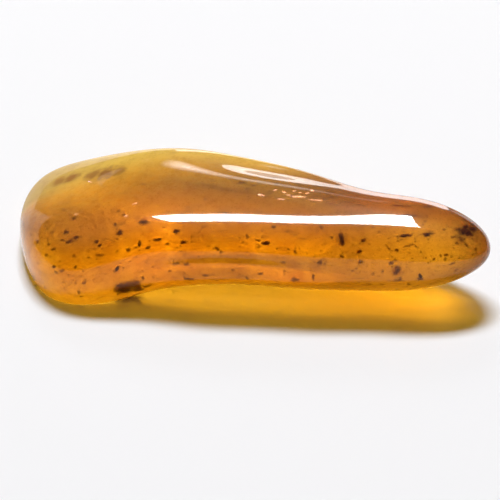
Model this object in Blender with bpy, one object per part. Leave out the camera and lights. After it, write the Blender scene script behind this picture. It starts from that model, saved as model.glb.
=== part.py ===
"""Insect in amber: a polished drop of clear amber with a midge and a scrap of bark sealed inside it.

The drop lies on the flat worn along its underside, with +Z up and the origin on the surface it
rests on, below the middle of its box. It is parted in two along one
slanting plane, so that the midge and the bark each lie in a pocket that opens at the parting.
"""
import math
from collections import namedtuple

import bmesh
import bpy
import numpy as np
from mathutils import Matrix, Vector

MM = 0.001

# ---- the amber drop, in millimetres -------------------------------------------------------------
HALF_LENGTH = 22.5
# Sections from the wide end to the tip: the place is a share of the half length, the thinning is the
# share of its height that a section loses from its middle to its back edge, and the squareness is how
# much further than an ellipse it reaches between its top and its sides.
Section = namedtuple("Section", "place half_height half_depth centre_y centre_z thinning squareness")
SECTIONS = (
    Section(-1.00, 5.82, 19.99, 1.79, 2.07, 0.70, 0.07),
    Section(-0.75, 5.58, 13.77, 0.70, 1.91, 0.27, 0.12),
    Section(-0.50, 4.90, 9.32, -0.25, 3.34, -0.04, 0.17),
    Section(-0.25, 4.22, 7.71, -1.39, 4.48, -0.25, 0.23),
    Section(0.00, 4.08, 6.87, -2.46, 4.69, -0.30, 0.24),
    Section(0.25, 4.26, 6.21, -4.05, 4.60, -0.26, 0.18),
    Section(0.50, 4.58, 5.32, -5.78, 4.59, -0.20, 0.12),
    Section(0.75, 5.13, 6.14, -6.59, 4.81, -0.19, 0.10),
    Section(1.00, 5.12, 7.34, -7.36, 5.37, -0.14, 0.06),
)
WIDE_END_POWER = 2.5
TIP_POWER = 2.0
# A swell or a dent of the skin: its height, and its middle and reach along and across the drop
Swell = namedtuple("Swell", "height along along_reach across across_reach")
HOLLOW = Swell(-1.77, 0.02, 0.324, 0.630, 0.302)
BACK_RIM = Swell(1.40, 0.85, 0.635, 0.908, 0.184)
KEEL_DROP = 1.3
KEEL_START = 0.05
KEEL_RUN = 0.15
KEEL_ACROSS = 0.3
KEEL_REACH = 0.45
RINGS = 44
SIDES = 48

# ---- the parting --------------------------------------------------------------------------------
PARTING_GAP = 0.3
PARTING_LEAN = Vector((-0.074, -0.70, 0.70)).normalized()

# ---- the scrap of bark, in millimetres ----------------------------------------------------------
BARK_PLACE = Vector((-11.9, -7.35, 1.3))
BARK_TILT = math.radians(-14.0)
BARK_SIZE = Vector((1.6, 0.72, 0.52))
BARK_BLOCKINESS = 0.45
BARK_FILL = 0.86
BARK_RIDGE = 0.10
BARK_CHIP = 0.08
BARK_GAP = 0.3

# ---- the midge, in its own millimetres: +X ahead, +Z over its back ------------------------------
MIDGE_PLACE = Vector((19.95, -6.22, 5.8))
MIDGE_ROLL = math.radians(20.0)
MIDGE_PITCH = math.radians(-24.0)
MIDGE_YAW = math.radians(12.0)
MIDGE_POCKET = Vector((1.5, 1.08, 1.05))
MIDGE_POCKET_PLACE = Vector((-0.12, 0.0, -0.05))
# Rounded forms: where their middle is, and half their size along X, Y and Z
Ball = namedtuple("Ball", "place radii")
THORAX = Ball((0.0, 0.0, 0.0), (0.30, 0.21, 0.25))
HUMP = Ball((0.07, 0.0, 0.11), (0.21, 0.17, 0.18))
HEAD = Ball((0.38, 0.0, -0.03), (0.13, 0.15, 0.14))
LEFT_EYE = Ball((0.42, 0.10, 0.0), (0.075, 0.070, 0.090))
# Tapering tubes: the points along them, and their radius at each point
Tube = namedtuple("Tube", "points radii")
LEG_RADII = (0.045, 0.038, 0.028, 0.018)
MOUTH = Tube(((0.40, 0.0, -0.10), (0.45, 0.0, -0.27)), (0.045, 0.020))
LEFT_LIMBS = {
    "antenna": Tube(((0.46, 0.05, 0.04), (0.60, 0.10, 0.12), (0.76, 0.16, 0.13), (0.90, 0.22, 0.08)),
                    (0.030, 0.026, 0.020, 0.014)),
    "front_leg": Tube(((0.18, 0.10, -0.16), (0.42, 0.32, -0.20), (0.52, 0.40, -0.55), (0.70, 0.46, -0.66)),
                      LEG_RADII),
    "middle_leg": Tube(((0.02, 0.12, -0.18), (0.05, 0.46, -0.10), (0.00, 0.58, -0.46), (0.05, 0.66, -0.64)),
                       LEG_RADII),
    "hind_leg": Tube(((-0.14, 0.10, -0.16), (-0.46, 0.38, -0.10), (-0.66, 0.46, -0.50), (-0.84, 0.44, -0.66)),
                     LEG_RADII),
}
ABDOMEN_RINGS = 6
ABDOMEN_START = (-0.16, -0.02)
ABDOMEN_LENGTH = 0.98
ABDOMEN_DROOP = 0.22
ABDOMEN_RADIUS = 0.165
ABDOMEN_GROOVE = 0.88
WING_LENGTH = 1.15
WING_WIDTH = 0.42
WING_THICKNESS = 0.035
WING_ROOT_SHARE = 0.25
# Each wing's root, its turn about Z and then how far its tip is raised
Wing = namedtuple("Wing", "root sweep raised")
WINGS = {
    "left_wing": Wing((0.05, 0.10, 0.16), math.radians(158), math.radians(10)),
    "right_wing": Wing((0.05, -0.10, 0.18), math.radians(196), math.radians(20)),
}


def spline_through(places, values):
    """Return the natural cubic spline through the given points as a function."""
    places = np.array(places)
    values = np.array(values)
    count = len(places)
    steps = np.diff(places)
    slopes = np.diff(values) / steps
    system = np.eye(count)
    bends = np.zeros(count)
    for i in range(1, count - 1):
        system[i, i - 1:i + 2] = (steps[i - 1], 2 * (steps[i - 1] + steps[i]), steps[i])
        bends[i] = 6 * (slopes[i] - slopes[i - 1])
    curvature = np.linalg.solve(system, bends)

    def value_at(place):
        i = min(max(int(np.searchsorted(places, place)) - 1, 0), count - 2)
        after = place - places[i]
        before = places[i + 1] - place
        step = steps[i]
        bend = (curvature[i] * before ** 3 + curvature[i + 1] * after ** 3) / (6 * step)
        left = (values[i] / step - curvature[i] * step / 6) * before
        right = (values[i + 1] / step - curvature[i + 1] * step / 6) * after
        return bend + left + right

    return value_at


def along_drop(field):
    """Return one measure of the sections as a smooth function of the place along the drop."""
    return spline_through([section.place for section in SECTIONS],
                          [getattr(section, field) for section in SECTIONS])


half_height = along_drop("half_height")
half_depth = along_drop("half_depth")
centre_y = along_drop("centre_y")
centre_z = along_drop("centre_z")
thinning = along_drop("thinning")
squareness = along_drop("squareness")


def bell(value, middle, reach):
    return math.exp(-((value - middle) / reach) ** 2)


def swell_at(swell, along, across):
    return swell.height * bell(along, swell.along, swell.along_reach) * bell(across, swell.across,
                                                                            swell.across_reach)


def drop_point(direction):
    """Return the point of the drop's skin, in millimetres, for a point of the unit ball."""
    along = max(-1.0, min(1.0, direction.x))
    ball_radius = math.hypot(direction.y, direction.z)
    if ball_radius < 1e-6:
        return Vector((along * HALF_LENGTH, centre_y(along), centre_z(along)))
    across = direction.y / ball_radius
    upward = direction.z / ball_radius
    top = max(0.0, upward)
    under = max(0.0, -upward)
    power = WIDE_END_POWER if along < 0 else TIP_POWER
    girth = math.sqrt(max(0.0, 1 - abs(along) ** power))
    fullness = 1 + squareness(along) * (2 * across * upward) ** 2
    height = half_height(along) * (1 - thinning(along) * across) * fullness * upward
    height += top * swell_at(HOLLOW, along, across)
    height += math.sqrt(top) * swell_at(BACK_RIM, along, across)
    keel = KEEL_DROP * (1 + math.tanh((along - KEEL_START) / KEEL_RUN)) / 2
    height -= under * keel * bell(across, KEEL_ACROSS, KEEL_REACH)
    return Vector((
        along * HALF_LENGTH,
        centre_y(along) + girth * half_depth(along) * fullness * across,
        centre_z(along) + girth * height,
    ))


def finish_mesh(bm, name):
    """Turn a bmesh in millimetres into a smooth-shaded mesh in metres."""
    bmesh.ops.recalc_face_normals(bm, faces=bm.faces)
    bmesh.ops.scale(bm, vec=(MM, MM, MM), verts=bm.verts)
    mesh = bpy.data.meshes.new(name)
    bm.to_mesh(mesh)
    bm.free()
    mesh.shade_smooth()
    mesh.set_sharp_from_angle(angle=math.radians(40))
    return mesh


def add_part(name, bm, collection, material):
    part = bpy.data.objects.new(name, finish_mesh(bm, name))
    part.data.materials.append(material)
    collection.objects.link(part)
    return part


def add_guide(name, bm, collection):
    """Add an object that only cuts or joins others."""
    guide = bpy.data.objects.new(name, finish_mesh(bm, name))
    guide.hide_render = True
    guide.display_type = "WIRE"
    collection.objects.link(guide)
    return guide


def make_material(name, colour, roughness, alpha=1.0):
    material = bpy.data.materials.new(name)
    material.use_nodes = True
    shader = material.node_tree.nodes["Principled BSDF"]
    shader.inputs["Base Color"].default_value = (*colour, 1.0)
    shader.inputs["Roughness"].default_value = roughness
    shader.inputs["Metallic"].default_value = 0.0
    shader.inputs["Alpha"].default_value = alpha
    return material


def cut_flat(bm, point, normal):
    """Take away all that lies beyond a plane, and close the cut with flat faces."""
    everything = bm.verts[:] + bm.edges[:] + bm.faces[:]
    bmesh.ops.bisect_plane(bm, geom=everything, plane_co=point, plane_no=normal, clear_outer=True)
    rim = [edge for edge in bm.edges if edge.is_boundary]
    bmesh.ops.holes_fill(bm, edges=rim, sides=0)


def ball(place, radii, segments=12, rings=8):
    bm = bmesh.new()
    pose = Matrix.Translation(place) @ Matrix.Diagonal((*radii, 1.0))
    bmesh.ops.create_uvsphere(bm, u_segments=segments, v_segments=rings, radius=1.0, matrix=pose)
    return bm


def tube(points, radii, resolution=1):
    """Make a closed tapering tube through the points."""
    curve = bpy.data.curves.new("tube", "CURVE")
    curve.dimensions = "3D"
    curve.bevel_depth = 1.0
    curve.bevel_resolution = resolution
    curve.use_fill_caps = True
    spline = curve.splines.new("POLY")
    spline.points.add(len(points) - 1)
    for spot, point, radius in zip(spline.points, points, radii):
        spot.co = (*point, 1.0)
        spot.radius = radius
    holder = bpy.data.objects.new("tube", curve)
    bpy.context.scene.collection.objects.link(holder)
    shaped = holder.evaluated_get(bpy.context.evaluated_depsgraph_get())
    bm = bmesh.new()
    bm.from_mesh(bpy.data.meshes.new_from_object(shaped))
    bpy.data.objects.remove(holder)
    bmesh.ops.remove_doubles(bm, verts=bm.verts, dist=1e-5)
    return bm


def make_drop():
    """Make the whole drop, with the flats that it rests on."""
    bm = bmesh.new()
    poles_along_x = Matrix.Rotation(math.pi / 2, 4, "Y")
    bmesh.ops.create_uvsphere(bm, u_segments=SIDES, v_segments=RINGS, radius=1.0, matrix=poles_along_x)
    for vert in bm.verts:
        vert.co = drop_point(vert.co)
    cut_flat(bm, Vector((0, 0, 0)), Vector((0, 0, -1)))
    return bm


def make_half(side):
    """Make the part of the drop on one side of the parting plane: 1 in front, -1 behind."""
    bm = make_drop()
    cut_flat(bm, BARK_PLACE + PARTING_LEAN * side * PARTING_GAP / 2, -PARTING_LEAN * side)
    return bm


def make_bark(gap=0.0):
    """Make a scrap of bark: a flattened block with uneven, broken sides, wider all round by the gap."""
    bm = bmesh.new()
    bmesh.ops.create_icosphere(bm, subdivisions=3, radius=1.0)
    tilt = Matrix.Rotation(BARK_TILT, 3, "Y")
    for vert in bm.verts:
        x, y, z = vert.co
        ridges = BARK_RIDGE * math.sin(5 * x + 2 * z) * math.cos(4 * y)
        chips = BARK_CHIP * math.sin(9 * y + 3 * x) * math.sin(7 * z + 1)
        reach = BARK_FILL / max(abs(x), abs(y), abs(z)) ** BARK_BLOCKINESS
        size = BARK_SIZE + Vector((gap, gap, gap))
        vert.co = BARK_PLACE + tilt @ (vert.co * size) * reach * (1 + ridges + chips)
    return bm


def make_abdomen():
    """Make the ringed hind body, which tapers and bends down towards its end."""
    start_x, start_z = ABDOMEN_START
    steps = ABDOMEN_RINGS * 2
    points = []
    radii = []
    for i in range(steps + 1):
        share = i / steps
        points.append((start_x - ABDOMEN_LENGTH * share, 0.0, start_z - ABDOMEN_DROOP * share ** 2))
        girth = 1.0 if i % 2 else ABDOMEN_GROOVE
        radii.append(ABDOMEN_RADIUS * girth * (0.85 + 0.5 * share - 1.05 * share ** 2))
    return tube(points, radii, resolution=3)


def make_wing(wing):
    """Make one rounded wing that widens away from its root."""
    bm = bmesh.new()
    bmesh.ops.create_circle(bm, cap_ends=True, segments=18, radius=1.0)
    for vert in bm.verts:
        share = (1 + vert.co.x) / 2
        widening = WING_ROOT_SHARE + (1 - WING_ROOT_SHARE) * math.sqrt(share)
        vert.co = (share * WING_LENGTH, vert.co.y * widening * WING_WIDTH / 2, -WING_THICKNESS / 2)
    blade = bmesh.ops.extrude_face_region(bm, geom=bm.faces[:])
    upper = [piece for piece in blade["geom"] if isinstance(piece, bmesh.types.BMVert)]
    bmesh.ops.translate(bm, vec=(0, 0, WING_THICKNESS), verts=upper)
    pose = Matrix.Translation(wing.root) @ Matrix.Rotation(wing.sweep, 4, "Z")
    pose = pose @ Matrix.Rotation(-wing.raised, 4, "Y")
    bmesh.ops.transform(bm, matrix=pose, verts=bm.verts)
    return bm


def mirrored(point, side):
    x, y, z = point
    return (x, y * side, z)


def midge_forms():
    """Return the closed forms that join the thorax to make the midge."""
    forms = {
        "hump": ball(*HUMP),
        "head": ball(*HEAD),
        "mouth": tube(*MOUTH),
        "abdomen": make_abdomen(),
    }
    for word, side in (("left_", 1), ("right_", -1)):
        forms[word + "eye"] = ball(mirrored(LEFT_EYE.place, side), LEFT_EYE.radii)
        for name, limb in LEFT_LIMBS.items():
            forms[word + name] = tube([mirrored(point, side) for point in limb.points], limb.radii)
    for name, wing in WINGS.items():
        forms[name] = make_wing(wing)
    return forms


def midge_pose():
    turn = Matrix.Rotation(MIDGE_YAW, 4, "Z") @ Matrix.Rotation(MIDGE_PITCH, 4, "Y")
    return Matrix.Translation(MIDGE_PLACE * MM) @ turn @ Matrix.Rotation(MIDGE_ROLL, 4, "X")


def add_midge(parts, forms, cuticle):
    insect = add_part("insect", ball(*THORAX), parts, cuticle)
    insect.matrix_world = midge_pose()
    for name, form in midge_forms().items():
        add_guide(name, form, forms).matrix_world = midge_pose()
    union = insect.modifiers.new("joined_forms", "BOOLEAN")
    union.operation = "UNION"
    union.solver = "EXACT"
    union.operand_type = "COLLECTION"
    union.collection = forms


def add_amber(parts, cutters, amber):
    midge_pocket = add_guide("insect_pocket", ball(MIDGE_POCKET_PLACE, MIDGE_POCKET, 20, 12), cutters)
    midge_pocket.matrix_world = midge_pose()
    bark_pocket = add_guide("bark_pocket", make_bark(BARK_GAP), cutters)
    for name, side in (("amber_front", 1), ("amber_back", -1)):
        half = add_part(name, make_half(side), parts, amber)
        for pocket in (midge_pocket, bark_pocket):
            cut = half.modifiers.new(pocket.name, "BOOLEAN")
            cut.operation = "DIFFERENCE"
            cut.solver = "EXACT"
            cut.object = pocket


def build():
    for thing in list(bpy.data.objects):
        bpy.data.objects.remove(thing)
    parts, cutters, forms = [bpy.data.collections.new(name)
                             for name in ("insect_in_amber", "cutters", "midge_forms")]
    for group in (parts, cutters, forms):
        bpy.context.scene.collection.children.link(group)
    add_amber(parts, cutters, make_material("amber", (0.62, 0.22, 0.01), 0.05, alpha=0.5))
    add_midge(parts, forms, make_material("cuticle", (0.05, 0.025, 0.012), 0.35))
    add_part("bark_scrap", make_bark(), parts, make_material("bark", (0.07, 0.03, 0.012), 0.85))


build()
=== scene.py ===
"""Insect in amber: the look of a polished drop of clear amber, and of all that is sealed inside it."""
import math
import random
from collections import namedtuple

import bmesh
import bpy
import numpy as np
from mathutils import Matrix, Vector
from mathutils.bvhtree import BVHTree


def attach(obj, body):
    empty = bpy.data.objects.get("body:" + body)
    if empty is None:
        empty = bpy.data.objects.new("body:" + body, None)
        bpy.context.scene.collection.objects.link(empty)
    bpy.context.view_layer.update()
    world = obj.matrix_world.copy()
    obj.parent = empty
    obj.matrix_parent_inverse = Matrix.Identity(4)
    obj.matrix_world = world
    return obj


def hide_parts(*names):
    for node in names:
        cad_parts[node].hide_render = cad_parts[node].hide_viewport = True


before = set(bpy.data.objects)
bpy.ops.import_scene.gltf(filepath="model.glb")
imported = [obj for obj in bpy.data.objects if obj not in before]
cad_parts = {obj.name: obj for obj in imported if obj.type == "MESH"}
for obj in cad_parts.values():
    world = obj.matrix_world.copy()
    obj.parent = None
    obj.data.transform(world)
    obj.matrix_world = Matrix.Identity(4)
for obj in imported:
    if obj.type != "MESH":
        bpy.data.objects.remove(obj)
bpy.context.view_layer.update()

MM = 0.001
TINY = 1e-6
SEED = 7

# ---- the drop's shape, in millimetres, with the same numbers as the solids -------------------------
# Places on the drop are told as along it (-1 at the wide end, 1 at the tip), across it (-1 in front,
# 1 at the back) and upward (-1 below, 1 on top).
HALF_LENGTH = 22.5
# A section across the drop: its place along it, its half height and half depth, its centre, how much
# lower it is towards the back, and how full its corners are. The numbers of the sections, the hollow
# and the back rim came out of a least-squares fit.
Section = namedtuple("Section", "place half_height half_depth centre_y centre_z thinning squareness")
SECTIONS = (
    Section(-1.00, 5.82, 19.99, 1.79, 2.07, 0.70, 0.07),
    Section(-0.75, 5.58, 13.77, 0.70, 1.91, 0.27, 0.12),
    Section(-0.50, 4.90, 9.32, -0.25, 3.34, -0.04, 0.17),
    Section(-0.25, 4.22, 7.71, -1.39, 4.48, -0.25, 0.23),
    Section(0.00, 4.08, 6.87, -2.46, 4.69, -0.30, 0.24),
    Section(0.25, 4.26, 6.21, -4.05, 4.60, -0.26, 0.18),
    Section(0.50, 4.58, 5.32, -5.78, 4.59, -0.20, 0.12),
    Section(0.75, 5.13, 6.14, -6.59, 4.81, -0.19, 0.10),
    Section(1.00, 5.12, 7.34, -7.36, 5.37, -0.14, 0.06),
)
# How bluntly each end closes
WIDE_END_POWER = 2.5
TIP_POWER = 2.0
# A swell of the upper side: its height, and its middle and reach along and across the drop
Swell = namedtuple("Swell", "height along along_reach across across_reach")
HOLLOW = Swell(-1.77, 0.02, 0.324, 0.630, 0.302)
BACK_RIM = Swell(1.40, 0.85, 0.635, 0.908, 0.184)
# The keel underneath: how far it hangs down, where along the drop it starts and over what run, and its
# middle and reach across
KEEL_DROP = 1.3
KEEL_START = 0.05
KEEL_RUN = 0.15
KEEL_ACROSS = 0.3
KEEL_REACH = 0.45
SKIN_RINGS = 200
SKIN_SIDES = 220
SHARP_ANGLE = math.radians(40)

# ---- the camera, the lights and the room -----------------------------------------------------------
# The picture's size in pixels, and the point in its middle and its width there in millimetres
PICTURE_SIZE = 500
PICTURE_MIDDLE = Vector((-0.25, -4.24, 2.97))
PICTURE_WIDTH = 47.77
CAMERA_RISE = math.radians(35.0)
CAMERA_DISTANCE = 400.0
SENSOR = 36.0
LOOKING = Vector((0, math.cos(CAMERA_RISE), -math.sin(CAMERA_RISE)))
PICTURE_UP = Vector((0, math.sin(CAMERA_RISE), math.cos(CAMERA_RISE)))
CAMERA_PLACE = PICTURE_MIDDLE - LOOKING * CAMERA_DISTANCE
PIXELS_DEEP = CAMERA_DISTANCE * PICTURE_SIZE / PICTURE_WIDTH
PIXEL = PICTURE_WIDTH / PICTURE_SIZE
# A light behind the drop: its rise from the floor and its swing to the left in degrees, how far off it
# is, how far it is slid along its own length, its length and breadth, all in millimetres, its power in
# watts and its spread in degrees
Light = namedtuple("Light", "name rise swing distance slide length breadth power spread")
LIGHTS = (
    Light("lamp", 60.4, 12.0, 2000.0, 120.0, 760.0, 348.0, 46.0, 180),
    Light("low_glow", 4.0, -6.0, 2500.0, 0.0, 760.0, 350.0, 3.0, 180),
    Light("soft_patch", 31.0, 5.0, 2000.0, 0.0, 700.0, 700.0, 0.11, 17),
    Light("side_window", 10.0, 41.0, 2500.0, 0.0, 1600.0, 860.0, 3.3, 180),
)
FLOOR_REACH = 6.0
FLOOR_GAP = 0.00002
FLOOR_COLOUR = (0.90, 0.895, 0.91, 1)
FLOOR_ROUGHNESS = 0.9
ROOM_COLOUR = (0.02, 0.02, 0.02, 1)
BOUNCES = 24
GLOSSY_BLUR = 0.2

# ---- the amber's looks -----------------------------------------------------------------------------
# The glass is partly clear and partly hazy; a clear coat gives its gloss, with a small blurred share.
AMBER_IOR = 1.54
CLEAR = 0.05
HAZY = 0.55
OUTER_HAZE = 0.78
INNER_HAZE = 0.90
COAT_IOR = 1.35
COAT_ROUGHNESS = 0.01
COAT_BLUR = 0.15
COAT_BLUR_IOR = 1.5
COAT_BLUR_SHARE = 0.05
POLISH_ROUGHNESS = 0.02
POLISH_BUMP = 0.03
POLISH_DEPTH = 0.0001
# How much red, green and blue light the amber takes away in a metre, and a density above all three
AMBER_LOSS = (24.0, 62.0, 250.0)
DENSEST = 600.0
# The light that the drop lets through to the floor, and the share of stray light that it lets through
PASSING_TINT = (0.56, 0.45, 0.06, 1)
DIFFUSE_SHARE = 0.4
# The amber's tints. A pair of numbers holds the two ends of a gradual change.
BODY_TINT = (0.77, 0.50, 0.12, 1)
TAIL_TINT = (0.86, 0.42, 0.07, 1)
TAIL_ALONG = (-0.1, 0.6)
TIP_TINT = (1.0, 0.54, 0.08, 1)
TIP_ALONG = (0.35, 0.75)
RIM_TINT = (0.95, 0.78, 0.30, 1)
YELLOW_BACKWARD = (-0.15, 0.65)
# Painted shade: the glass is darker low at the front.
LOW_FRONT_PAINTED_SHADE = (0.36, 0.17, 0.03, 1)
LOW_SHADE_UPWARD = (-0.4, 0.6)
LOW_SHADE_ACROSS = (-0.6, 0.2)
# Painted shade: the glass is darker on its underside, most towards the wide end.
UNDER_PAINTED_SHADE = (0.36, 0.21, 0.05, 1)
UNDER_SHADE_UPWARD = (-0.85, -0.1)
UNDER_SHADE_ALONG = (-0.05, 0.35)
CLOUD_TINT = (0.42, 0.16, 0.03, 1)
CLOUD_SHARE = 0.5
STAIN_AND_SHADE_TINT = (0.20, 0.055, 0.012, 1)
SPECKLE_SHARE = 0.45
# The cloudy yellow veil over the wide half's back. Backward is across, turned towards the wide end.
BACKWARD_SLANT = 0.62
RIM_BACKWARD = (0.0, 0.95)
RIM_UPWARD = (-0.95, -0.35)
RIM_ALONG = (0.0, 0.65)
RIM_RAGGEDNESS = 0.4
VEIL_SHARE = 0.85
VEIL_TINT = (0.92, 0.58, 0.07, 1)
VEIL_END_TINT = (0.58, 0.36, 0.06, 1)
VEIL_END_ALONG = (-0.95, -0.45)
VEIL_START_TINT = (0.92, 0.36, 0.012, 1)
VEIL_YELLOWING = (0.35, 0.90)
VEIL_STAIN_TINT = (0.38, 0.16, 0.02, 1)
VEIL_CLOUDING = 0.35
VEIL_ROUGHNESS = 0.5
VEIL_COAT = (0.2, 1.0)
VEIL_COAT_ALONG = (-0.95, -0.4)
# A pattern of noise: its scale, detail and roughness, and the two ends of the range in which it shows
Grain = namedtuple("Grain", "scale detail roughness start end")
CLOUDS = Grain(700.0, 6.0, 0.75, 0.42, 0.68)
SPECKLE = Grain(4200.0, 4.0, 0.7, 0.54, 0.70)
FINE_GRAIN = Grain(5000.0, 4.0, 0.6, 0.3, 0.7)
COARSE_GRAIN = Grain(900.0, 2.0, 0.5, 0.35, 0.65)
FLAKE_GRAIN = Grain(6000.0, 2.0, 0.5, 0.3, 0.7)
RAGGED_SCALE = 1400.0
RAGGED_DETAIL = 3.0
POLISH_SCALE = 900.0
NOISE_MIDDLE = 0.5

# ---- the looks of what is sealed in it -------------------------------------------------------------
# A grainy look: its dark and pale colours, its roughness, and its least and greatest opacity
Grainy = namedtuple("Grainy", "name dark pale roughness thinnest thickest")
CUTICLE = Grainy("insect_cuticle", (0.012, 0.004, 0.001, 1), (0.07, 0.022, 0.006, 1), 0.45, 0.9, 1.0)
BARK = Grainy("decayed_bark", (0.10, 0.022, 0.004, 1), (0.38, 0.12, 0.03, 1), 0.75, 0.6, 0.95)
DEBRIS = Grainy("plant_debris", (0.09, 0.016, 0.002, 1), (0.28, 0.06, 0.01, 1), 0.7, 0.4, 0.85)
CRUMB = Grainy("pale_debris", (0.03, 0.008, 0.002, 1), (0.12, 0.035, 0.007, 1), 0.7, 0.2, 0.85)
DUST = Grainy("fine_dust", (0.03, 0.008, 0.002, 1), (0.10, 0.03, 0.006, 1), 0.7, 0.35, 0.9)
GRAIN_ROUGHNESS = 0.2
# The flakes' pale colours and their glow are a painted glint of a light that the cracks would mirror.
FLAKE_PAINTED_GLINT_COLOURS = ((0.6, 0.3, 0.15, 1), (0.9, 0.6, 0.4, 1))
FLAKE_PAINTED_GLINT_GLOWS = ((0.30, 0.20, 0.25, 1), (0.85, 0.62, 0.80, 1))
FLAKE_PAINTED_GLINT_STRENGTH = 2.2
FLAKE_ROUGHNESS = (0.1, 0.3)
FLAKE_OPACITY = (0.45, 0.80)

# ---- where it lies ---------------------------------------------------------------------------------
# A fleck: its pixel, its length and breadth in pixels, its turn in degrees and its depth in millimetres
Fleck = namedtuple("Fleck", "column row length breadth turn depth")
FLECKS = [Fleck(*numbers) for numbers in (
    (43, 196.5, 9, 3.5, 35, 0.3), (74, 217.5, 6.5, 4.5, 45, 0.3), (66.5, 231.5, 5, 4.5, 0, 0.3),
    (76, 237.5, 7, 4.5, 20, 0.3), (69, 241.5, 7.5, 4, 10, 0.35), (54, 267, 4, 3.5, 0, 0.3),
    (63, 282.5, 4, 2.5, 0, 0.5), (84, 283, 3.5, 3, 0, 0.5), (46, 255, 4, 4, 0, 0.6),
    (47, 222, 5, 2.5, 50, 0.5), (118.5, 210.5, 4, 4, 0, 0.3), (123, 214.5, 4, 3, -20, 0.3),
    (114.5, 224, 5, 4, 90, 0.5), (119, 232, 7, 6, 30, 0.4), (128.5, 250, 4, 4, 0, 0.6),
    (100, 255, 9, 3, 10, 0.6), (148, 248, 5, 3, 30, 0.5), (157, 240, 8, 4, 0, 0.4),
    (167, 244.5, 4, 4, 0, 0.3), (177, 231, 5.5, 5, 10, 0.3), (183, 242, 6, 3.5, 20, 0.4),
    (206, 199.5, 4.5, 4, 0, 0.4), (170, 271, 3.5, 3, 0, 0.3), (176, 264, 7, 3, 0, 0.6),
    (187, 264, 4, 3, 60, 0.5), (189, 279, 10, 2.5, 0, 0.4), (205, 275.5, 7, 3, 0, 0.5),
    (213, 274.5, 3, 2, 0, 0.4), (217, 248.5, 5, 3, -50, 0.4), (208, 246, 4, 2, 0, 0.4),
    (233, 270, 3, 2, 0, 0.3), (249, 262, 4, 3, 0, 0.5), (242, 182.5, 9, 3, 0, 0.3),
    (254, 185.5, 5, 2.5, 0, 0.3), (265, 243.5, 9, 4, 0, 0.25), (258, 240.5, 6, 2, -10, 0.3),
    (283, 262.5, 4.5, 3, 0, 0.4), (261, 274, 5, 4, 0, 0.6), (296, 279.5, 8, 4.5, 0, 0.3),
    (313.5, 277, 6, 4, 80, 0.5), (320, 263, 4, 4, 0, 0.6), (342, 239, 15, 7, 88, 0.4),
    (342, 256.5, 5, 4, 0, 0.4), (364, 240, 6.5, 4, 35, 0.3), (359.5, 251.5, 5, 3, 0, 0.3),
    (361, 262, 6, 5, 0, 0.6), (388, 247, 9, 1.8, -50, 0.3), (396.5, 250, 4, 3, 0, 0.3),
    (391, 263, 5, 4, 0, 0.6), (397, 271, 11, 8, 80, 0.9), (398, 280.5, 5, 3, 0, 0.5),
    (368, 285, 7, 4, 0, 0.8), (420, 279, 5, 4, 0, 0.6), (407, 235.5, 11, 3.5, 5, 0.25),
    (402, 236.5, 6, 2, -5, 0.3), (427, 234.5, 6, 5, 0, 0.3), (429, 233.5, 15, 2.5, 5, 0.3),
    (408, 245.5, 9, 1.6, 12, 0.3), (416, 246.5, 8, 1.6, -40, 0.3), (403, 205.5, 22, 3, -4, 0.4),
    (427, 206.5, 10, 3, 10, 0.4), (414, 215, 20, 3.5, -6, 0.4), (446, 255, 5, 3, 0, 0.4),
    (434, 259, 4, 2, 40, 0.4), (452, 264, 8, 1.8, 20, 0.4), (125, 290, 13, 8, 8, 0.5),
    (138, 290, 11, 5, 12, 0.4), (148, 286, 8, 3, 20, 0.4), (119, 285, 6, 4, 0, 0.4),
    (466, 220.5, 9, 3, -38, 0.5), (454, 237, 6, 3, 0, 0.6), (144, 222, 11, 5, 0, 0.5),
    (458, 229.5, 7, 3, -30, 0.5), (463.5, 232, 6, 5, 0, 0.5), (469.5, 233.5, 8, 7, 0, 0.5),
    (474, 229, 7, 5, 30, 0.5), (461, 239, 8, 3.5, -55, 0.5), (466, 244.5, 5, 2.5, -45, 0.5),
    (477, 239, 9, 2, 75, 0.5), (466, 227, 6, 4, 40, 0.6),
)]
# A fleck's lumps: where they lie as shares of its half length, how far they sway as a share of its half
# breadth, their length as a share of its own, how thick they may be, and how unlike in size they are
LUMP_PLACES = (-0.5, 0.0, 0.5)
LUMP_SWAY = 0.35
LUMP_LENGTH = 0.62
LUMP_THICKEST = 0.12
LUMP_SIZES = (0.55, 1.1)
LUMP_UNEVENNESS = (0.72, 1.12)
FLECK_SUBDIVISIONS = 2
# Grains that hang under all of the skin: how many, their sizes and depths in millimetres, and how often
# the faces of each are subdivided
Grains = namedtuple("Grains", "count least_size most_size least_depth most_depth subdivisions")
CRUMBS = Grains(420, 0.06, 0.20, 0.12, 0.7, 2)
SPECKS = Grains(4500, 0.03, 0.09, 0.06, 0.5, 1)
GRAIN_LENGTHENING = (1.0, 2.2)
GRAIN_FLATNESS = 0.6
DUST_FLOOR = 0.5
BATCH = 40
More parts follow.
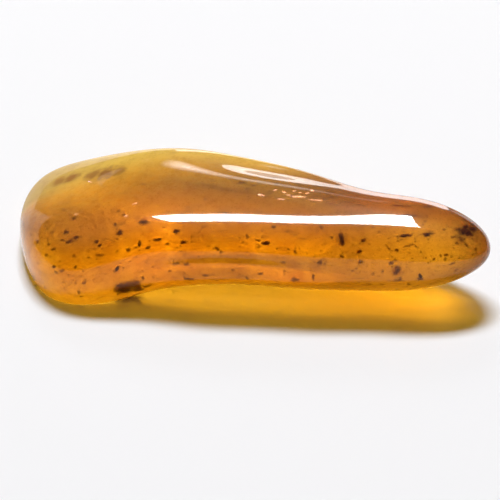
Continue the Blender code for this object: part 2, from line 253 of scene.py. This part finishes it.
# A soft dark mark under the skin, mostly a stain and in six broad places painted shade: its pixel, its
# reach in millimetres and its strength
DarkMark = namedtuple("DarkMark", "column row reach strength")
STAINS_AND_SHADE = [DarkMark(*numbers) for numbers in (
    (60, 181, 1.2, 0.9), (71, 178, 1.3, 1.0), (93, 175, 1.3, 0.9), (106, 173, 1.5, 1.0),
    (119, 171, 1.2, 0.8), (128, 262, 0.9, 0.5), (140, 266, 1.0, 0.5), (152, 262, 0.9, 0.4),
    (309, 233, 1.4, 0.4), (311, 247, 1.3, 0.4), (292, 264, 1.3, 0.7), (296, 276, 1.2, 0.7),
    (316, 266, 1.1, 0.6), (342, 239, 0.8, 0.7), (397, 271, 0.8, 0.9), (144, 221, 0.7, 0.8),
    (138, 218, 0.5, 0.5), (466, 231, 1.1, 1.0), (471, 228, 0.9, 1.0), (461, 241, 0.8, 0.7),
    # On the next two lines the first six marks are broad painted shade: they darken a wide band across the
    # front, from low on the wide end to the middle.
    (72, 270, 3.8, 0.72), (102, 264, 3.8, 0.7), (150, 252, 4.2, 0.7), (192, 246, 4.4, 0.68),
    (235, 243, 4.4, 0.68), (280, 243, 4.0, 0.6), (404, 236, 0.7, 0.4), (428, 234, 0.7, 0.5),
    (425, 212, 1.6, 0.4), (364, 241, 0.6, 0.4), (119, 232, 0.6, 0.5), (72, 240, 0.8, 0.5),
    (72, 218, 0.5, 0.4), (157, 241, 0.8, 0.4), (244, 241, 0.7, 0.3), (320, 243, 2.5, 0.2),
)]
DARK_MARK_EDGE = 1.1
DARK_MARK_CORE = 0.2
# A flake where the amber has cracked inside, which carries a painted glint: its pixel, length and breadth
# in pixels, turn, depth
GLINTS = [Fleck(*numbers) for numbers in (
    (261, 195, 8, 3.5, -15, 0.2), (275, 190, 6, 1.5, 10, 0.15), (283.5, 192, 6, 2, -20, 0.2),
    (294.5, 191, 5, 2, 25, 0.15), (300, 192.5, 3, 2, 0, 0.2), (312.5, 190.5, 7, 2.5, -10, 0.2),
    (282, 199, 10, 2, -8, 0.2), (297, 196.5, 18, 2.5, -4, 0.25), (316, 200, 15, 1.4, -6, 0.2),
    (91, 182, 8, 2, -25, 0.2), (135, 203.5, 7, 1.6, 15, 0.2), (126, 216, 5, 3, 0, 0.2),
    (76, 214, 5, 1.6, 0, 0.3), (145, 160, 8, 2, 10, 0.3), (308, 193, 5, 1.5, 15, 0.2),
    (288, 195, 6, 1.5, 0, 0.2),
)]
FLAKE_CORNERS = 9
FLAKE_UNEVENNESS = (0.5, 1.1)
FLAKE_THICKNESS = 0.03


# ---- the drop's skin -------------------------------------------------------------------------------
def spline_through(places, values):
    """Return the natural cubic spline through the given points as a function."""
    places = np.array(places)
    values = np.array(values)
    count = len(places)
    steps = np.diff(places)
    slopes = np.diff(values) / steps
    system = np.eye(count)
    bends = np.zeros(count)
    for i in range(1, count - 1):
        system[i, i - 1:i + 2] = (steps[i - 1], 2 * (steps[i - 1] + steps[i]), steps[i])
        bends[i] = 6 * (slopes[i] - slopes[i - 1])
    curvature = np.linalg.solve(system, bends)

    def value_at(place):
        i = min(max(int(np.searchsorted(places, place)) - 1, 0), count - 2)
        after = place - places[i]
        before = places[i + 1] - place
        step = steps[i]
        bend = (curvature[i] * before ** 3 + curvature[i + 1] * after ** 3) / (6 * step)
        left = (values[i] / step - curvature[i] * step / 6) * before
        right = (values[i + 1] / step - curvature[i + 1] * step / 6) * after
        return bend + left + right

    return value_at


def along_drop(field):
    """Return the function that gives a field of the sections at any place along the drop."""
    return spline_through([section.place for section in SECTIONS],
                          [getattr(section, field) for section in SECTIONS])


half_height = along_drop("half_height")
half_depth = along_drop("half_depth")
centre_y = along_drop("centre_y")
centre_z = along_drop("centre_z")
thinning = along_drop("thinning")
squareness = along_drop("squareness")


def bell(value, middle, reach):
    return math.exp(-((value - middle) / reach) ** 2)


def swell_at(swell, along, across):
    lengthwise = bell(along, swell.along, swell.along_reach)
    return swell.height * lengthwise * bell(across, swell.across, swell.across_reach)


def drop_point(direction):
    """Return the point of the drop's skin, in millimetres, for a point of the unit ball."""
    along = max(-1.0, min(1.0, direction.x))
    ball_radius = math.hypot(direction.y, direction.z)
    if ball_radius < TINY:
        return Vector((along * HALF_LENGTH, centre_y(along), centre_z(along)))
    across = direction.y / ball_radius
    upward = direction.z / ball_radius
    top = max(0.0, upward)
    under = max(0.0, -upward)
    power = WIDE_END_POWER if along < 0 else TIP_POWER
    girth = math.sqrt(max(0.0, 1 - abs(along) ** power))
    fullness = 1 + squareness(along) * (2 * across * upward) ** 2
    height = half_height(along) * (1 - thinning(along) * across) * fullness * upward
    height += top * swell_at(HOLLOW, along, across)
    height += math.sqrt(top) * swell_at(BACK_RIM, along, across)
    keel = KEEL_DROP * (1 + math.tanh((along - KEEL_START) / KEEL_RUN)) / 2
    height -= under * keel * bell(across, KEEL_ACROSS, KEEL_REACH)
    return Vector((
        along * HALF_LENGTH,
        centre_y(along) + girth * half_depth(along) * fullness * across,
        centre_z(along) + girth * height,
    ))


def make_drop():
    """Make the drop's skin from a ball, and keep in `lie` where on the drop each point is."""
    bm = bmesh.new()
    poles_along_x = Matrix.Rotation(math.pi / 2, 4, "Y")
    bmesh.ops.create_uvsphere(bm, u_segments=SKIN_SIDES, v_segments=SKIN_RINGS, radius=1.0,
                              matrix=poles_along_x)
    lie = bm.verts.layers.float_vector.new("lie")
    for vert in bm.verts:
        round_axis = max(math.hypot(vert.co.y, vert.co.z), TINY)
        vert[lie] = (vert.co.x, vert.co.y / round_axis, vert.co.z / round_axis)
        vert.co = drop_point(vert.co)
        # The drop rests on a flat face: what would reach below the floor is raised to it. A cut would
        # leave the points in an order that changes from run to run.
        vert.co.z = max(0.0, vert.co.z)
    bmesh.ops.recalc_face_normals(bm, faces=bm.faces)
    bm.normal_update()
    return bm


def skin_above(bm, height):
    """Return the middle and normal of each face above a height, and the faces' areas, in fixed order."""
    faces = [(tuple(face.calc_center_median()), tuple(face.normal), face.calc_area())
             for face in bm.faces]
    faces = sorted(face for face in faces if face[0][2] > height)
    places = [(Vector(middle), Vector(normal)) for middle, normal, _ in faces]
    return places, [area for _, _, area in faces]


# ---- places as the camera sees them ----------------------------------------------------------------
def bent_into(direction, normal):
    """Return a ray's direction after it enters the amber."""
    if normal.dot(direction) > 0:
        normal = -normal
    facing = -normal.dot(direction)
    share = 1 / AMBER_IOR
    inside = math.sqrt(1 - share ** 2 * (1 - facing ** 2))
    return (share * direction + (share * facing - inside) * normal).normalized()


def place_inside(skin, column, row, depth):
    """Return the point that lies so deep under the skin where the camera sees the given pixel."""
    middle = PICTURE_SIZE / 2
    ray = LOOKING * PIXELS_DEEP + Vector((column - middle, 0, 0)) - PICTURE_UP * (row - middle)
    ray.normalize()
    hit, normal, _, _ = skin.ray_cast(CAMERA_PLACE, ray)
    return hit + bent_into(ray, normal) * depth


def facing_camera(turn):
    """Return a turn that lays X along the picture, raised by the given angle, and Z at the camera."""
    return Matrix.Rotation(math.pi / 2 - CAMERA_RISE, 3, "X") @ Matrix.Rotation(turn, 3, "Z")


# ---- shaders ---------------------------------------------------------------------------------------
class Value:
    """A number that varies over a surface: arithmetic on it adds Math nodes."""

    def __init__(self, shader, socket):
        self.shader = shader
        self.socket = socket

    def math(self, operation, *operands):
        node = self.shader.node("ShaderNodeMath", {"operation": operation}, dict(enumerate(operands)))
        return Value(self.shader, node.outputs[0])

    def __add__(self, other):
        return self.math("ADD", self, other)

    def __sub__(self, other):
        return self.math("SUBTRACT", self, other)

    def __rsub__(self, other):
        return self.math("SUBTRACT", other, self)

    def __mul__(self, other):
        return self.math("MULTIPLY", self, other)

    __radd__ = __add__
    __rmul__ = __mul__

    def smooth(self, start, end):
        """Return a number that goes smoothly from 0 to 1 as this one goes from start to end."""
        node = self.shader.node("ShaderNodeMapRange", {"interpolation_type": "SMOOTHSTEP"}, {
            "Value": self, "From Min": start, "From Max": end})
        return Value(self.shader, node.outputs[0])

    def between(self, least, most):
        """Return the number that lies this share of the way from the least to the most."""
        return least + self * (most - least)

    def highest(self, other):
        return self.math("MAXIMUM", self, other)

    def clipped(self):
        """Return this number kept between 0 and 1."""
        limited = self.math("ADD", self, 0.0)
        limited.socket.node.use_clamp = True
        return limited


class Shader:
    """A material that is put together from nodes."""

    def __init__(self, name):
        self.material = bpy.data.materials.new(name)
        self.material.use_nodes = True
        self.tree = self.material.node_tree
        self.surface = self.tree.nodes["Principled BSDF"]

    def put(self, value, socket):
        if isinstance(value, Value):
            self.tree.links.new(value.socket, socket)
        elif isinstance(value, bpy.types.NodeSocket):
            self.tree.links.new(value, socket)
        else:
            socket.default_value = value

    def node(self, kind, settings=None, inputs=None):
        node = self.tree.nodes.new(kind)
        for name, setting in (settings or {}).items():
            setattr(node, name, setting)
        for name, value in (inputs or {}).items():
            self.put(value, node.inputs[name])
        return node

    def number(self, kind, output):
        """Return a number that a node without inputs gives."""
        return Value(self, self.node(kind).outputs[output])

    def attribute(self, name):
        """Return the three numbers of a vector that the mesh holds."""
        vector = self.node("ShaderNodeAttribute", {"attribute_name": name}).outputs["Vector"]
        split = self.node("ShaderNodeSeparateXYZ", {}, {0: vector})
        return [Value(self, output) for output in split.outputs]

    def mixed(self, share, first, second):
        """Return the colour that lies the share's way from the first colour to the second."""
        return self.node("ShaderNodeMix", {"data_type": "RGBA"}, {0: share, 6: first, 7: second}).outputs[2]

    def blend(self, share, first, second):
        """Return the shader that lies the share's way from the first shader to the second."""
        return self.node("ShaderNodeMixShader", {}, {0: share, 1: first.outputs[0], 2: second.outputs[0]})

    def noise(self, scale, detail=2.0, roughness=0.5):
        place = self.node("ShaderNodeTexCoord").outputs["Object"]
        return Value(self, self.node("ShaderNodeTexNoise", {}, {
            "Vector": place, "Scale": scale, "Detail": detail, "Roughness": roughness}).outputs["Fac"])

    def grain(self, pattern):
        noise = self.noise(pattern.scale, pattern.detail, pattern.roughness)
        return noise.smooth(pattern.start, pattern.end)

    def finish(self, **inputs):
        for name, value in inputs.items():
            self.put(value, self.surface.inputs[name.replace("_", " ")])
        return self.material


# ---- the amber's material --------------------------------------------------------------------------
def stains_and_shade_on(shader, skin, ragged):
    """Return how dark the amber is made by stains and broad painted shade, from 0 to 1: each mark fades
    from its middle outwards.
    """
    place = shader.node("ShaderNodeTexCoord").outputs["Object"]
    stain_and_shade = None
    for dark_mark in STAINS_AND_SHADE:
        centre = place_inside(skin, dark_mark.column, dark_mark.row, 0.0) * MM
        apart = shader.node("ShaderNodeVectorMath", {"operation": "DISTANCE"}, {0: place, 1: centre})
        distance = Value(shader, apart.outputs["Value"]) * (1 / MM)
        near = distance + (ragged - NOISE_MIDDLE) * dark_mark.reach
        mark = near.smooth(dark_mark.reach * DARK_MARK_EDGE, dark_mark.reach * DARK_MARK_CORE) * dark_mark.strength
        stain_and_shade = stain_and_shade.highest(mark) if stain_and_shade else mark
    return stain_and_shade


def amber_tint(shader, along, across, upward, yellowing):
    """Return the glass's colour, with painted shade low at the front and underneath, before its clouds,
    stains and broad painted shade.
    """
    tint = shader.mixed(along.smooth(*TAIL_ALONG), BODY_TINT, TAIL_TINT)
    tint = shader.mixed(yellowing, tint, RIM_TINT)
    tint = shader.mixed(along.smooth(*TIP_ALONG), tint, TIP_TINT)
    # Painted shade: darker low at the front.
    low = (1.0 - upward.smooth(*LOW_SHADE_UPWARD)) * (1.0 - across.smooth(*LOW_SHADE_ACROSS))
    tint = shader.mixed(low, tint, LOW_FRONT_PAINTED_SHADE)
    # Painted shade: darker on the underside, most towards the wide end.
    under = (1.0 - upward.smooth(*UNDER_SHADE_UPWARD)) * (1.0 - along.smooth(*UNDER_SHADE_ALONG))
    return shader.mixed(under, tint, UNDER_PAINTED_SHADE)


def yellow_veil(shader, along, backward, marks, polished):
    """Return the cloudy yellow skin that lies over the glass towards the back."""
    tint = shader.mixed(along.smooth(*VEIL_END_ALONG), VEIL_END_TINT, VEIL_TINT)
    tint = shader.mixed(backward.smooth(*VEIL_YELLOWING), VEIL_START_TINT, tint)
    tint = shader.mixed(marks, tint, VEIL_STAIN_TINT)
    return shader.node("ShaderNodeBsdfPrincipled", {}, {
        **polished, "Base Color": tint, "Roughness": VEIL_ROUGHNESS,
        "Coat Weight": along.smooth(*VEIL_COAT_ALONG).between(*VEIL_COAT)})


def amber_material(skin):
    shader = Shader("amber")
    ragged = shader.noise(RAGGED_SCALE, RAGGED_DETAIL)
    stain_and_shade = stains_and_shade_on(shader, skin, ragged)
    along, across, upward = shader.attribute("lie")
    backward = across - along * BACKWARD_SLANT
    backs = upward.smooth(*RIM_UPWARD) * (1.0 - along.smooth(*RIM_ALONG))
    rim = (backward + (ragged - NOISE_MIDDLE) * RIM_RAGGEDNESS).smooth(*RIM_BACKWARD) * backs
    backfacing = shader.number("ShaderNodeNewGeometry", "Backfacing")
    outside_only = 1.0 - backfacing
    clouds = shader.grain(CLOUDS)
    tint = amber_tint(shader, along, across, upward, backward.smooth(*YELLOW_BACKWARD) * backs)
    tint = shader.mixed(clouds * CLOUD_SHARE, tint, CLOUD_TINT)
    tint = shader.mixed(shader.grain(SPECKLE) * outside_only * SPECKLE_SHARE, tint, STAIN_AND_SHADE_TINT)
    # Stains and broad painted shade, on the outer side only.
    tint = shader.mixed(stain_and_shade * outside_only, tint, STAIN_AND_SHADE_TINT)
    polish = shader.noise(POLISH_SCALE)
    bump = shader.node("ShaderNodeBump", {}, {
        "Strength": POLISH_BUMP, "Distance": POLISH_DEPTH, "Height": polish})
    bare = {"Normal": bump.outputs[0]}
    # The gloss is the coat's: the glass under it has no straight reflection of its own.
    polished = {**bare, "Specular Tint": (0, 0, 0, 1), "Coat Weight": 1.0, "Coat IOR": COAT_IOR,
                "Coat Roughness": COAT_ROUGHNESS}
    blurred = {**polished, "Coat IOR": COAT_BLUR_IOR, "Coat Roughness": COAT_BLUR}

    def glass(roughness, finish):
        return shader.node("ShaderNodeBsdfPrincipled", {}, {
            **finish, "Base Color": tint, "Transmission Weight": 1.0, "IOR": AMBER_IOR,
            "Roughness": polish * POLISH_ROUGHNESS + roughness})

    outer = shader.blend(OUTER_HAZE, glass(CLEAR, polished), glass(HAZY, polished))
    outer = shader.blend(COAT_BLUR_SHARE, outer, glass(HAZY, blurred))
    marks = stain_and_shade.highest(clouds * VEIL_CLOUDING)
    outer = shader.blend(rim * VEIL_SHARE, outer, yellow_veil(shader, along, backward, marks, polished))
    inner = shader.blend(INNER_HAZE, glass(CLEAR, bare), glass(HAZY, bare))
    surface = shader.blend(backfacing, outer, inner)
    # Light on its way to the floor goes straight through the drop and is tinted on the way.
    shadow = shader.number("ShaderNodeLightPath", "Is Shadow Ray")
    stray = shader.number("ShaderNodeLightPath", "Is Diffuse Ray")
    onward = (shadow + stray * DIFFUSE_SHARE).clipped()
    passing = shader.node("ShaderNodeBsdfTransparent", {}, {"Color": PASSING_TINT})
    output = shader.tree.nodes["Material Output"]
    shader.put(shader.blend(onward, surface, passing).outputs[0], output.inputs["Surface"])
    absorption = shader.node("ShaderNodeVolumeAbsorption", {}, {
        "Color": [1 - loss / DENSEST for loss in AMBER_LOSS] + [1.0], "Density": DENSEST})
    shader.put(absorption.outputs[0], output.inputs["Volume"])
    return shader.material


# ---- the materials of what is sealed in it ---------------------------------------------------------
def grainy_material(look):
    """Return a material of two colours in a fine grain, thinner in some spots than in others."""
    shader = Shader(look.name)
    grain = shader.grain(FINE_GRAIN)
    opacity = shader.grain(COARSE_GRAIN).between(look.thinnest, look.thickest)
    return shader.finish(Base_Color=shader.mixed(grain, look.dark, look.pale),
                         Roughness=grain * GRAIN_ROUGHNESS + look.roughness, Alpha=opacity)


def painted_glint_flake_material():
    """Return the material of a crack's flakes: pale colours and a faint glow, a painted glint of a light
    that they would mirror.
    """
    shader = Shader("crack_flake_painted_glint")
    grain = shader.grain(FLAKE_GRAIN)
    return shader.finish(Base_Color=shader.mixed(grain, *FLAKE_PAINTED_GLINT_COLOURS),
                         Emission_Color=shader.mixed(grain, *FLAKE_PAINTED_GLINT_GLOWS),
                         Emission_Strength=FLAKE_PAINTED_GLINT_STRENGTH,
                         Roughness=grain.between(*FLAKE_ROUGHNESS),
                         Alpha=grain.between(*FLAKE_OPACITY))


# ---- the shapes of what is sealed in it ------------------------------------------------------------
def add_lump(bm, place, turn, size, subdivisions, source):
    """Add an uneven rounded lump to a mesh, with the given half sizes along its own axes."""
    made = bmesh.ops.create_icosphere(bm, subdivisions=subdivisions, radius=1.0)["verts"]
    for vert in made:
        vert.co *= source.uniform(*LUMP_UNEVENNESS)
    pose = Matrix.Translation(place) @ turn.to_4x4() @ Matrix.Diagonal((*size, 1.0))
    bmesh.ops.transform(bm, matrix=pose, verts=made)


def make_flecks(skin, source):
    """Make each fleck as a row of lumps that run into each other."""
    bm = bmesh.new()
    for fleck in FLECKS:
        place = place_inside(skin, fleck.column, fleck.row, fleck.depth)
        turn = facing_camera(math.radians(fleck.turn))
        length = fleck.length * PIXEL / 2
        breadth = fleck.breadth * PIXEL / 2
        thickness = min(LUMP_THICKEST, breadth)
        for share in LUMP_PLACES:
            aside = Vector((share * length, source.uniform(-LUMP_SWAY, LUMP_SWAY) * breadth, 0))
            size = Vector((LUMP_LENGTH * length, breadth, thickness)) * source.uniform(*LUMP_SIZES)
            add_lump(bm, place + turn @ aside, turn, size, FLECK_SUBDIVISIONS, source)
    return bm


def make_flakes(skin, source):
    """Make the thin flakes of a crack, each with uneven corners."""
    bm = bmesh.new()
    for glint in GLINTS:
        place = place_inside(skin, glint.column, glint.row, glint.depth)
        turn = facing_camera(math.radians(glint.turn)).to_4x4()
        made = bmesh.ops.create_circle(bm, cap_ends=True, cap_tris=True, segments=FLAKE_CORNERS,
                                       radius=1.0)["verts"]
        for vert in made:
            vert.co *= source.uniform(*FLAKE_UNEVENNESS)
        size = Matrix.Diagonal((glint.length * PIXEL / 2, glint.breadth * PIXEL / 2, 1.0, 1.0))
        bmesh.ops.transform(bm, matrix=Matrix.Translation(place) @ turn @ size, verts=made)
    bmesh.ops.solidify(bm, geom=bm.faces[:], thickness=FLAKE_THICKNESS)
    return bm


def empty_into(bm, batch):
    """Move all of a small mesh into a large one, which keeps the operators quick."""
    gathered = bpy.data.meshes.new("batch")
    batch.to_mesh(gathered)
    batch.clear()
    bm.from_mesh(gathered)
    bpy.data.meshes.remove(gathered)


def make_grains(grains, places, areas, source):
    """Make uneven grains that hang at random depths under the given places of the skin."""
    bm = bmesh.new()
    batch = bmesh.new()
    deeper = grains.most_depth - grains.least_depth
    larger = grains.most_size - grains.least_size
    for number, (point, normal) in enumerate(source.choices(places, areas, k=grains.count)):
        depth = grains.least_depth + deeper * source.random() ** 2
        size = grains.least_size + larger * source.random() ** 2
        spin = Matrix.Rotation(source.uniform(0, math.pi), 3, "Z")
        turn = normal.to_track_quat("Z", "Y").to_matrix() @ spin
        longer = source.uniform(*GRAIN_LENGTHENING)
        half_sizes = (size * longer, size, size * GRAIN_FLATNESS)
        add_lump(batch, point - normal * depth, turn, half_sizes, grains.subdivisions, source)
        if number % BATCH == BATCH - 1:
            empty_into(bm, batch)
    empty_into(bm, batch)
    batch.free()
    return bm


# ---- pieces ----------------------------------------------------------------------------------------
def add_piece(name, bm, material, slot, *nodes):
    """Add a mesh made in millimetres as a piece of the object, in place of any solids it names."""
    bmesh.ops.scale(bm, vec=(MM, MM, MM), verts=bm.verts)
    mesh = bpy.data.meshes.new(name)
    bm.to_mesh(mesh)
    bm.free()
    mesh.shade_smooth()
    mesh.set_sharp_from_angle(angle=SHARP_ANGLE)
    mesh.materials.append(material)
    piece = bpy.data.objects.new(name, mesh)
    bpy.context.scene.collection.objects.link(piece)
    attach(piece, "root")
    if nodes:
        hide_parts(*nodes)


def dress_solid(node, material):
    """Give a solid of the frame its finished material."""
    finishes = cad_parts[node].data.materials
    finishes.clear()
    finishes.append(material)


# ---- the camera, the lights and the room -----------------------------------------------------------
def add_camera():
    camera = bpy.data.objects.new("camera", bpy.data.cameras.new("camera"))
    camera.data.sensor_width = SENSOR
    camera.data.lens = SENSOR * CAMERA_DISTANCE / PICTURE_WIDTH
    camera.location = CAMERA_PLACE * MM
    camera.rotation_euler = (math.pi / 2 - CAMERA_RISE, 0, 0)
    bpy.context.scene.collection.objects.link(camera)
    bpy.context.scene.camera = camera


def towards(rise, swing):
    """Return the direction to a place behind the drop, risen from the floor and swung to its left."""
    return Vector((-math.sin(swing) * math.cos(rise), math.cos(swing) * math.cos(rise), math.sin(rise)))


def add_light(spec):
    """Add a soft light on a rectangle that faces the drop."""
    light = bpy.data.lights.new(spec.name, "AREA")
    light.shape = "RECTANGLE"
    light.size = spec.length * MM
    light.size_y = spec.breadth * MM
    light.energy = spec.power
    light.spread = math.radians(spec.spread)
    holder = bpy.data.objects.new(spec.name, light)
    swing = math.radians(spec.swing)
    way = towards(math.radians(spec.rise), swing)
    sideways = Vector((math.cos(swing), math.sin(swing), 0))
    holder.location = (way * spec.distance + sideways * spec.slide) * MM
    holder.rotation_euler = way.to_track_quat("Z", "Y").to_euler()
    holder.visible_camera = False
    bpy.context.scene.collection.objects.link(holder)


def add_floor():
    """Add a plain pale floor, just clear of the face that the drop rests on."""
    bm = bmesh.new()
    bmesh.ops.create_grid(bm, x_segments=1, y_segments=1, size=FLOOR_REACH)
    bmesh.ops.translate(bm, vec=(0, 0, -FLOOR_GAP), verts=bm.verts)
    mesh = bpy.data.meshes.new("floor")
    bm.to_mesh(mesh)
    bm.free()
    mesh.materials.append(Shader("floor").finish(Base_Color=FLOOR_COLOUR, Roughness=FLOOR_ROUGHNESS))
    floor = bpy.data.objects.new("floor", mesh)
    bpy.context.scene.collection.objects.link(floor)


def set_up_room():
    """Set a dim room, and let light bend often enough to leave the amber again."""
    scene = bpy.context.scene
    scene.view_settings.view_transform = "Standard"
    world = bpy.data.worlds.new("room")
    world.use_nodes = True
    world.node_tree.nodes["Background"].inputs["Color"].default_value = ROOM_COLOUR
    scene.world = world
    scene.cycles.max_bounces = BOUNCES
    scene.cycles.transmission_bounces = BOUNCES
    scene.cycles.blur_glossy = GLOSSY_BLUR


set_up_room()
add_camera()
for light in LIGHTS:
    add_light(light)
add_floor()

drop = make_drop()
skin_tree = BVHTree.FromBMesh(drop)
skin_places, skin_areas = skin_above(drop, DUST_FLOOR)
dice = random.Random(SEED)
flecks = make_flecks(skin_tree, dice)
crumbs = make_grains(CRUMBS, skin_places, skin_areas, dice)
specks = make_grains(SPECKS, skin_places, skin_areas, dice)
flakes = make_flakes(skin_tree, dice)

dress_solid("insect", grainy_material(CUTICLE))
dress_solid("bark_scrap", grainy_material(BARK))
add_piece("plant_flecks", flecks, grainy_material(DEBRIS), "bark")
add_piece("plant_crumbs", crumbs, grainy_material(CRUMB), "bark")
add_piece("fine_dust", specks, grainy_material(DUST), "bark")
# The crack's flakes carry a painted glint.
add_piece("crack_flakes", flakes, painted_glint_flake_material(), "amber")
add_piece("amber", drop, amber_material(skin_tree), "amber", "amber_front", "amber_back")
